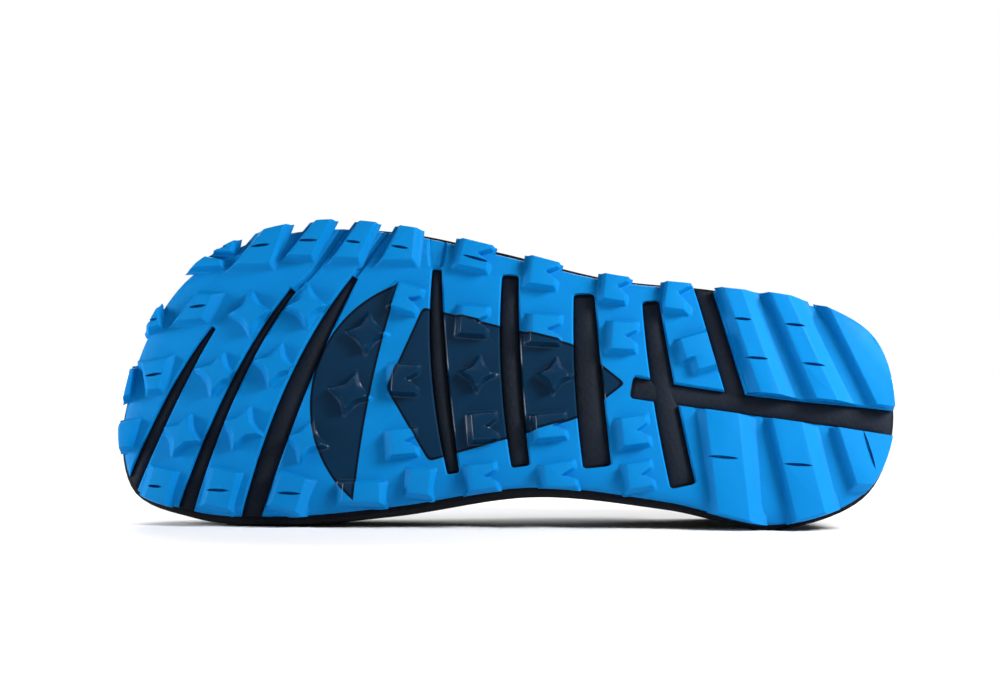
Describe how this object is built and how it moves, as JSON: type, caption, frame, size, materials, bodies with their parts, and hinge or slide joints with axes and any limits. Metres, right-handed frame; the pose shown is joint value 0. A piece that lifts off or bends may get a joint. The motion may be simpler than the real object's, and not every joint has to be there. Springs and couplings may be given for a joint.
{
  "type": "trail running shoe",
  "caption": "Left trail running shoe lying on its medial side, with a lugged, slotted blue rubber sole, dark foam midsole, hollow upper, laces and heel loop.",
  "frame": {"origin": "centre of the bounding box's bottom, on the floor", "axes": "toe towards -X, sole facing -Y, lateral side up +Z; the shoe is rolled so its medial sole edge and medial upper both touch the floor"},
  "size_m": [0.293, 0.1164, 0.1159],
  "materials": {
    "sole_rubber": "matt moulded blue rubber",
    "foam": "matt dark foam",
    "lining": "brushed textile",
    "mesh": "woven mesh",
    "film": "satin welded film",
    "cord": "woven polyester"
  },
  "bodies": {
    "root": {"outsole": "sole_rubber", "outsole_heel_pad": "sole_rubber", "midsole": "foam", "insole": "lining", "upper": "mesh", "tongue": "mesh", "toe_cap": "film", "lateral_guard": "film", "medial_guard": "film", "heel_counter": "film", "eyestay": "film", "laces": "cord", "pull_loop": "cord"}
  },
  "joints": []
}
